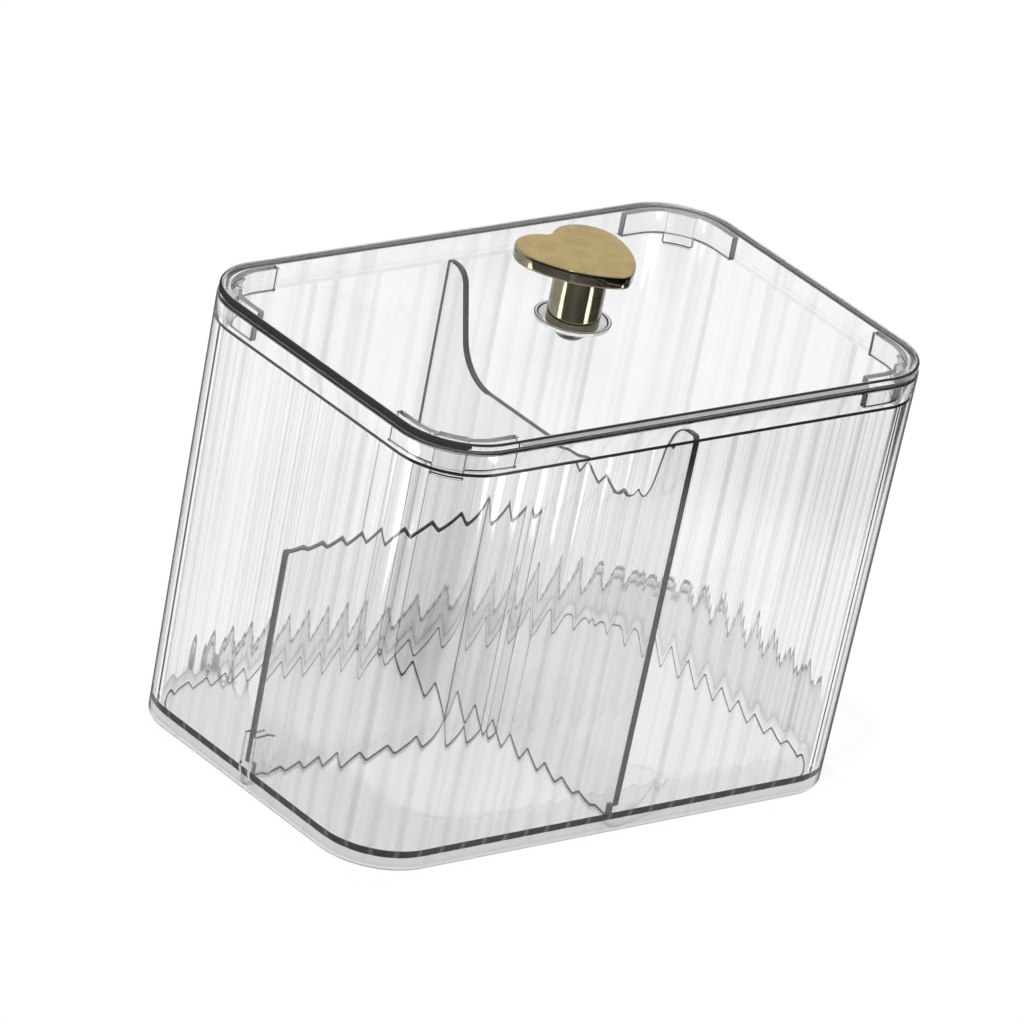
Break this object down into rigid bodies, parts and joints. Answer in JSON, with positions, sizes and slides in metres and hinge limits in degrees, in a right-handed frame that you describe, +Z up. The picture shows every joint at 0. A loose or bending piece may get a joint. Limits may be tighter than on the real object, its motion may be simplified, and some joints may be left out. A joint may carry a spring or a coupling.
{
  "type": "makeup organizer",
  "caption": "Clear fluted upright box with two dividers that lift out as one insert, and a lift-off lid with a gold heart-shaped knob, for brushes and cosmetics.",
  "frame": {"origin": "centre of the underside of the box, on the surface that it stands on", "axes": "+X along the box's long side, to the right seen from the front; +Y to the back; +Z up"},
  "size_m": [0.15, 0.098, 0.127],
  "materials": {
    "clear_plastic": "water-clear polished polystyrene",
    "gold_satin": "satin gold plate on a zinc casting",
    "gold_polished": "polished gold plate",
    "plated_steel": "bright zinc plate"
  },
  "bodies": {
    "box": {"box_body": "clear_plastic", "tall_divider": "clear_plastic", "short_divider": "clear_plastic"},
    "lid": {"lid": "clear_plastic", "knob_heart": "gold_satin", "knob_post": "gold_polished", "knob_collar": "clear_plastic", "knob_screw": "plated_steel"}
  },
  "joints": [
    {"name": "lid_lift", "type": "slide", "parent": "box", "child": "lid", "axis": [0, 0, 1], "range_m": [0, 0.12]}
  ]
}
